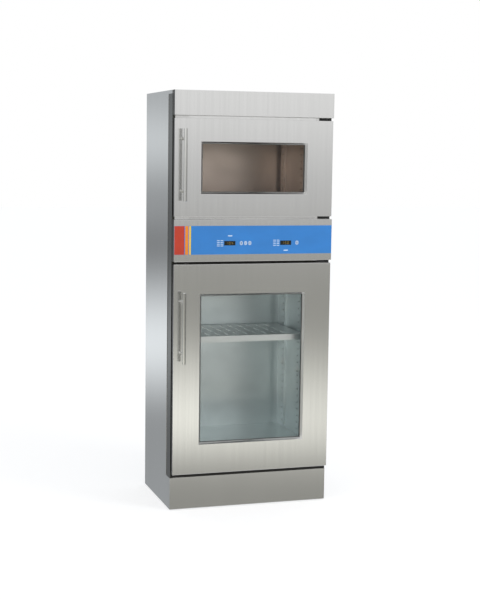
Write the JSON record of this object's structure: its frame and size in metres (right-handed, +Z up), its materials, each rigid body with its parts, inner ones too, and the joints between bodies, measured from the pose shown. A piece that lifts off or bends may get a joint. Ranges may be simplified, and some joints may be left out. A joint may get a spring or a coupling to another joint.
{
  "type": "dual-chamber warming cabinet",
  "caption": "Tall free-standing stainless-steel warming cabinet: a small glazed chamber over a tall one, each with its own swinging door, and a control panel between the doors.",
  "frame": {"origin": "centre of the bounding box's footprint, on the floor under the feet", "axes": "+Z up; the doors and handles face -Y; +X is the viewer's right when facing the doors, where the hinges are"},
  "size_m": [0.752, 0.572, 1.892],
  "materials": {
    "case_steel": "brushed",
    "door_steel": "brushed",
    "liner_steel": "satin",
    "frame_steel": "satin",
    "plinth_steel": "satin",
    "handle_steel": "satin",
    "hinge_black": "satin",
    "bush_plastic": "matte",
    "window_glass": "clear",
    "gasket_rubber": "matte",
    "seal_rubber": "matte",
    "film_blue": "satin",
    "display_black": "gloss",
    "key_white": "satin",
    "board_green": "matte",
    "inlet_black": "matte",
    "wool": "soft",
    "heater_foil": "foil",
    "foot_steel": "satin"
  },
  "bodies": {
    "cabinet": {"back_panel": "case_steel", "base_deck": "case_steel", "base_frame": "plinth_steel", "chassis_ends": "case_steel", "control_chassis": "case_steel", "control_overlay": "film_blue", "control_panel": "case_steel", "frame_rails": "frame_steel", "header_panel": "case_steel", "kick_panel": "case_steel", "left_side_panel": "case_steel", "left_stile": "frame_steel", "lower_controller": "board_green", "lower_display": "display_black", "lower_door_bottom_hinge": "hinge_black", "lower_door_top_hinge": "hinge_black", "lower_heater_mat": "heater_foil", "lower_insulation": "wool", "lower_liner": "liner_steel", "lower_standards": "liner_steel", "power_inlet": "inlet_black", "right_side_panel": "case_steel", "right_stile": "frame_steel", "shelf": "liner_steel", "shelf_clips": "liner_steel", "top_cover": "case_steel", "upper_controller": "board_green", "upper_display": "display_black", "upper_door_bottom_hinge": "hinge_black", "upper_door_top_hinge": "hinge_black", "upper_heater_mat": "heater_foil", "upper_insulation": "wool", "upper_liner": "liner_steel", "upper_standards": "liner_steel"},
    "upper_door": {"upper_door_skin": "door_steel", "upper_door_inner_pan": "door_steel", "upper_door_outer_glass": "window_glass", "upper_door_inner_glass": "window_glass", "upper_door_window_gasket": "gasket_rubber", "upper_door_seal": "seal_rubber", "upper_door_handle_bar": "handle_steel", "upper_door_handle_posts": "handle_steel", "upper_door_bushes": "bush_plastic"},
    "lower_door": {"lower_door_skin": "door_steel", "lower_door_inner_pan": "door_steel", "lower_door_outer_glass": "window_glass", "lower_door_inner_glass": "window_glass", "lower_door_window_gasket": "gasket_rubber", "lower_door_seal": "seal_rubber", "lower_door_handle_bar": "handle_steel", "lower_door_handle_posts": "handle_steel", "lower_door_bushes": "bush_plastic"},
    "key_upper_menu": {"upper_menu_key": "key_white"},
    "key_upper_minus": {"upper_minus_key": "key_white"},
    "key_upper_plus": {"upper_plus_key": "key_white"},
    "key_lower_menu": {"lower_menu_key": "key_white"},
    "levelling_foot_front_left": {"foot_front_left": "foot_steel"},
    "levelling_foot_front_right": {"foot_front_right": "foot_steel"},
    "levelling_foot_rear_left": {"foot_rear_left": "foot_steel"},
    "levelling_foot_rear_right": {"foot_rear_right": "foot_steel"}
  },
  "joints": [
    {"name": "upper_door_hinge", "type": "hinge", "parent": "cabinet", "child": "upper_door", "pos_m": [0.356, -0.223, 1.553], "axis": [0, 0, 1], "range_deg": [0, 120]},
    {"name": "lower_door_hinge", "type": "hinge", "parent": "cabinet", "child": "lower_door", "pos_m": [0.356, -0.223, 0.6475], "axis": [0, 0, 1], "range_deg": [0, 120]},
    {"name": "key_upper_menu_press", "type": "slide", "parent": "cabinet", "child": "key_upper_menu", "axis": [0, 1, 0], "range_m": [0, 0.0005], "stiffness_N_per_m": 1500, "springref_m": -0.0005},
    {"name": "key_upper_minus_press", "type": "slide", "parent": "cabinet", "child": "key_upper_minus", "axis": [0, 1, 0], "range_m": [0, 0.0005], "stiffness_N_per_m": 1500, "springref_m": -0.0005},
    {"name": "key_upper_plus_press", "type": "slide", "parent": "cabinet", "child": "key_upper_plus", "axis": [0, 1, 0], "range_m": [0, 0.0005], "stiffness_N_per_m": 1500, "springref_m": -0.0005},
    {"name": "key_lower_menu_press", "type": "slide", "parent": "cabinet", "child": "key_lower_menu", "axis": [0, 1, 0], "range_m": [0, 0.0005], "stiffness_N_per_m": 1500, "springref_m": -0.0005},
    {"name": "foot_front_left_level", "type": "slide", "parent": "cabinet", "child": "levelling_foot_front_left", "axis": [0, 0, -1], "range_m": [0, 0.015]},
    {"name": "foot_front_right_level", "type": "slide", "parent": "cabinet", "child": "levelling_foot_front_right", "axis": [0, 0, -1], "range_m": [0, 0.015]},
    {"name": "foot_rear_left_level", "type": "slide", "parent": "cabinet", "child": "levelling_foot_rear_left", "axis": [0, 0, -1], "range_m": [0, 0.015]},
    {"name": "foot_rear_right_level", "type": "slide", "parent": "cabinet", "child": "levelling_foot_rear_right", "axis": [0, 0, -1], "range_m": [0, 0.015]}
  ]
}
